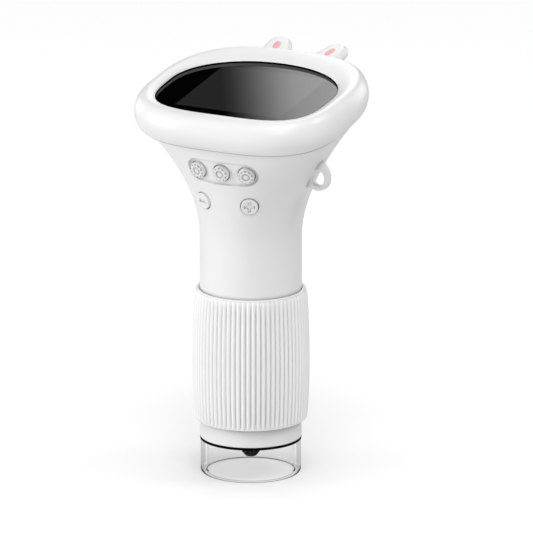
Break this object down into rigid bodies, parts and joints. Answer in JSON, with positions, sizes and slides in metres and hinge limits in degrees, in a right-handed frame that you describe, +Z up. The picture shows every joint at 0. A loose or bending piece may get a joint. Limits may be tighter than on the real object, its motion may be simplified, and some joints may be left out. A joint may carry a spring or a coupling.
{
  "type": "handheld digital microscope",
  "caption": "Handheld digital microscope with a tilted D-shaped screen, small ears, front keys, a ribbed focusing ring and a clear stand sleeve over an axial lens.",
  "frame": {"origin": "centre of the clear sleeve's bottom rim, on the barrel axis", "axes": "+Z up the barrel towards the screen; the keys face -Y; the strap eye is on +X"},
  "size_m": [0.0772, 0.0789, 0.1436],
  "materials": {
    "amber_film": "polyimide ribbon",
    "black_glass": "glossy black cover panel",
    "black_plastic": "matt black plastic",
    "chip_black": "moulded component body",
    "clear_plastic": "polished clear plastic",
    "dark_rubber": "dark elastomer",
    "foil": "laminated foil pouch",
    "green_board": "coated circuit board",
    "grey_plastic": "plain moulded inner plastic",
    "key_white": "smooth white key caps",
    "lcd_black": "unlit display",
    "lead_red": "insulated wire",
    "led_lens": "clear-yellow LED lens",
    "lens_glass": "coated lens glass",
    "pink_plastic": "pink inlay",
    "soft_white": "soft-touch white silicone",
    "steel": "bright steel",
    "white_plastic": "satin moulded white plastic"
  },
  "bodies": {
    "housing": {"body_shell": "white_plastic", "rear_cover": "white_plastic", "barrel_tube": "grey_plastic", "lower_collar": "white_plastic", "spacer_ring": "black_plastic", "base_plate": "black_plastic", "light_board": "green_board", "light_leds": "led_lens", "base_screws": "steel", "friction_o_ring": "dark_rubber", "camera_cable": "amber_film", "head_bezel": "soft_white", "ear_inlay_left": "pink_plastic", "ear_inlay_right": "pink_plastic", "screen_glass": "black_glass", "glass_gasket": "dark_rubber", "lcd_panel": "lcd_black", "lcd_backlight": "steel", "lcd_ribbon": "amber_film", "head_frame": "grey_plastic", "frame_screws": "steel", "main_board": "green_board", "board_chips": "chip_black", "usb_socket": "steel", "card_socket": "steel", "board_screws": "steel", "battery_cell": "foil", "battery_leads": "lead_red", "cover_screws": "steel", "switch_bracket": "grey_plastic", "key_switches": "chip_black", "bracket_screws": "steel"},
    "focus_ring": {"focus_ring_core": "white_plastic", "grip_sleeve": "soft_white"},
    "lens_unit": {"lens_carriage": "black_plastic", "follower_pins": "steel", "nose_cone": "black_plastic", "front_lens": "lens_glass", "lens_tube": "black_plastic", "rear_lens": "lens_glass", "lens_holder": "black_plastic", "image_sensor": "chip_black", "camera_board": "green_board", "carriage_screws": "steel"},
    "stand_sleeve": {"clear_sleeve": "clear_plastic"},
    "left_key": {"key_left": "key_white"},
    "middle_key": {"key_middle": "key_white"},
    "right_key": {"key_right": "key_white"},
    "minus_key": {"key_minus": "key_white"},
    "plus_key": {"key_plus": "key_white"}
  },
  "joints": [
    {"name": "focus_turn", "type": "hinge", "parent": "housing", "child": "focus_ring", "pos_m": [0, 0, 0.042], "axis": [0, 0, 1], "range_deg": [0, 270]},
    {"name": "lens_slide", "type": "slide", "parent": "housing", "child": "lens_unit", "axis": [0, 0, 1], "range_m": [0, 0.008], "deforming": ["camera_cable"]},
    {"name": "sleeve_pull", "type": "slide", "parent": "housing", "child": "stand_sleeve", "axis": [0, 0, -1], "range_m": [0, 0.0044]},
    {"name": "left_key_press", "type": "slide", "parent": "housing", "child": "left_key", "axis": [0.2201, 0.9215, 0.32], "range_m": [0, 0.0006]},
    {"name": "middle_key_press", "type": "slide", "parent": "housing", "child": "middle_key", "axis": [0, 0.9718, 0.236], "range_m": [0, 0.0006]},
    {"name": "right_key_press", "type": "slide", "parent": "housing", "child": "right_key", "axis": [-0.2201, 0.9215, 0.32], "range_m": [0, 0.0006]},
    {"name": "minus_key_press", "type": "slide", "parent": "housing", "child": "minus_key", "axis": [0.4074, 0.8805, 0.2425], "range_m": [0, 0.0006]},
    {"name": "plus_key_press", "type": "slide", "parent": "housing", "child": "plus_key", "axis": [-0.4074, 0.8805, 0.2425], "range_m": [0, 0.0006]}
  ],
  "couplings": [
    {"joint": "lens_slide", "follows": "focus_turn", "m_per_rad": 0.0016976}
  ]
}
